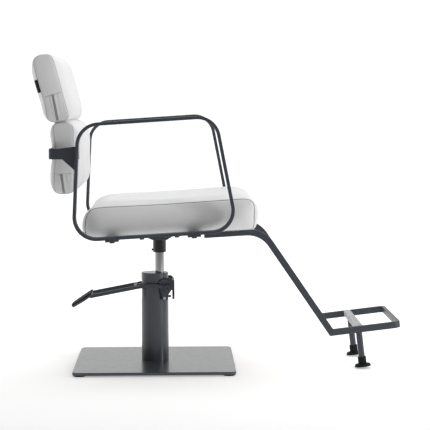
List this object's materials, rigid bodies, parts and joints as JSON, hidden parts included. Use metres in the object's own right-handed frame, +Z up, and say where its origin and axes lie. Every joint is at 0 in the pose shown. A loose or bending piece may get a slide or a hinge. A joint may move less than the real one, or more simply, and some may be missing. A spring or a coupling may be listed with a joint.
{
  "type": "styling chair",
  "caption": "Hair salon styling chair with a square base, foot-pumped lift, turning padded seat, loop armrests, leaning back and a footrest.",
  "frame": {"origin": "on the floor under the axis of the pump cover", "axes": "+X the way the sitter faces, +Y the sitter's left, +Z up"},
  "size_m": [1.0079, 0.634, 0.886],
  "materials": {
    "black_frame": "satin",
    "grey_pump": "satin",
    "chrome": "polished",
    "rubber": "matte",
    "cast_iron": "matte",
    "plain_steel": "satin",
    "brass": "satin",
    "zinc_steel": "satin",
    "gloss_collar": "gloss",
    "worn_tread": "satin",
    "label": "matte",
    "plywood": "matte",
    "upholstery": "satin"
  },
  "bodies": {
    "base": {"base_plate": "grey_pump", "base_glides": "rubber", "pump_foot": "cast_iron", "pump_foot_bolts": "plain_steel", "reservoir_tube": "plain_steel", "inner_cylinder": "plain_steel", "pump_head": "cast_iron", "guide_bush": "brass", "rod_wiper": "rubber", "foot_valve": "brass", "release_valve_body": "brass", "oil_filler_plug": "brass", "pump_cover": "grey_pump", "cover_cap": "grey_pump", "pivot_bracket_right": "black_frame", "pivot_bracket_left": "black_frame", "bracket_screws": "zinc_steel"},
    "pedal": {"pedal_fork": "black_frame", "drive_finger": "black_frame", "pedal_bridge": "black_frame", "pivot_bolts": "black_frame", "pedal_pad": "rubber"},
    "plunger": {"pump_plunger": "plain_steel", "plunger_spring": "plain_steel"},
    "release_pin_body": {"release_pin": "black_frame", "release_spring": "plain_steel"},
    "piston": {"piston_head": "cast_iron", "piston_cup": "rubber", "thrust_washer": "brass"},
    "seat": {"piston_rod": "chrome", "rod_circlip": "plain_steel", "seat_socket": "gloss_collar", "socket_set_screw": "gloss_collar", "mount_plate": "black_frame", "mount_bolts": "black_frame", "seat_rails": "black_frame", "crossbar_front": "black_frame", "crossbar_rear": "black_frame", "crossbar_bolts": "black_frame", "armrest_loop_right": "black_frame", "armrest_loop_left": "black_frame", "back_strap": "black_frame", "strap_gussets": "black_frame", "strap_bolts": "black_frame", "seat_board": "plywood", "seat_cushion": "upholstery", "lower_back_board": "plywood", "lower_back_cushion": "upholstery", "upper_back_board": "plywood", "upper_back_cushion": "upholstery", "back_spines": "black_frame", "label_tab": "label", "footrest_strut_right": "black_frame", "footrest_strut_left": "black_frame", "footrest_frame": "black_frame", "footrest_cross_bar": "worn_tread", "footrest_mount_plates": "black_frame", "footrest_bolts": "black_frame", "footrest_legs": "black_frame", "footrest_feet": "rubber"}
  },
  "joints": [
    {"name": "pedal_hinge", "type": "hinge", "parent": "base", "child": "pedal", "pos_m": [0.0363, 0, 0.2235], "axis": [0, 1, 0], "range_deg": [-18, 6], "stiffness_Nm_per_rad": 70},
    {"name": "plunger_slide", "type": "slide", "parent": "base", "child": "plunger", "axis": [0, 0, 1], "range_m": [-0.018, 0.0062], "deforming": ["plunger_spring"]},
    {"name": "release_pin_slide", "type": "slide", "parent": "base", "child": "release_pin_body", "axis": [1, 0, 0], "range_m": [-0.004, 0], "stiffness_N_per_m": 1500, "springref_m": 0.002, "deforming": ["release_spring"]},
    {"name": "height_slide", "type": "slide", "parent": "base", "child": "piston", "axis": [0, 0, 1], "range_m": [0, 0.13]},
    {"name": "seat_swivel", "type": "hinge", "parent": "piston", "child": "seat", "pos_m": [0.0137, 0, 0.3], "axis": [0, 0, 1], "continuous": true}
  ],
  "couplings": [
    {"joint": "plunger_slide", "follows": "pedal_hinge", "m_per_rad": 0.0563}
  ]
}
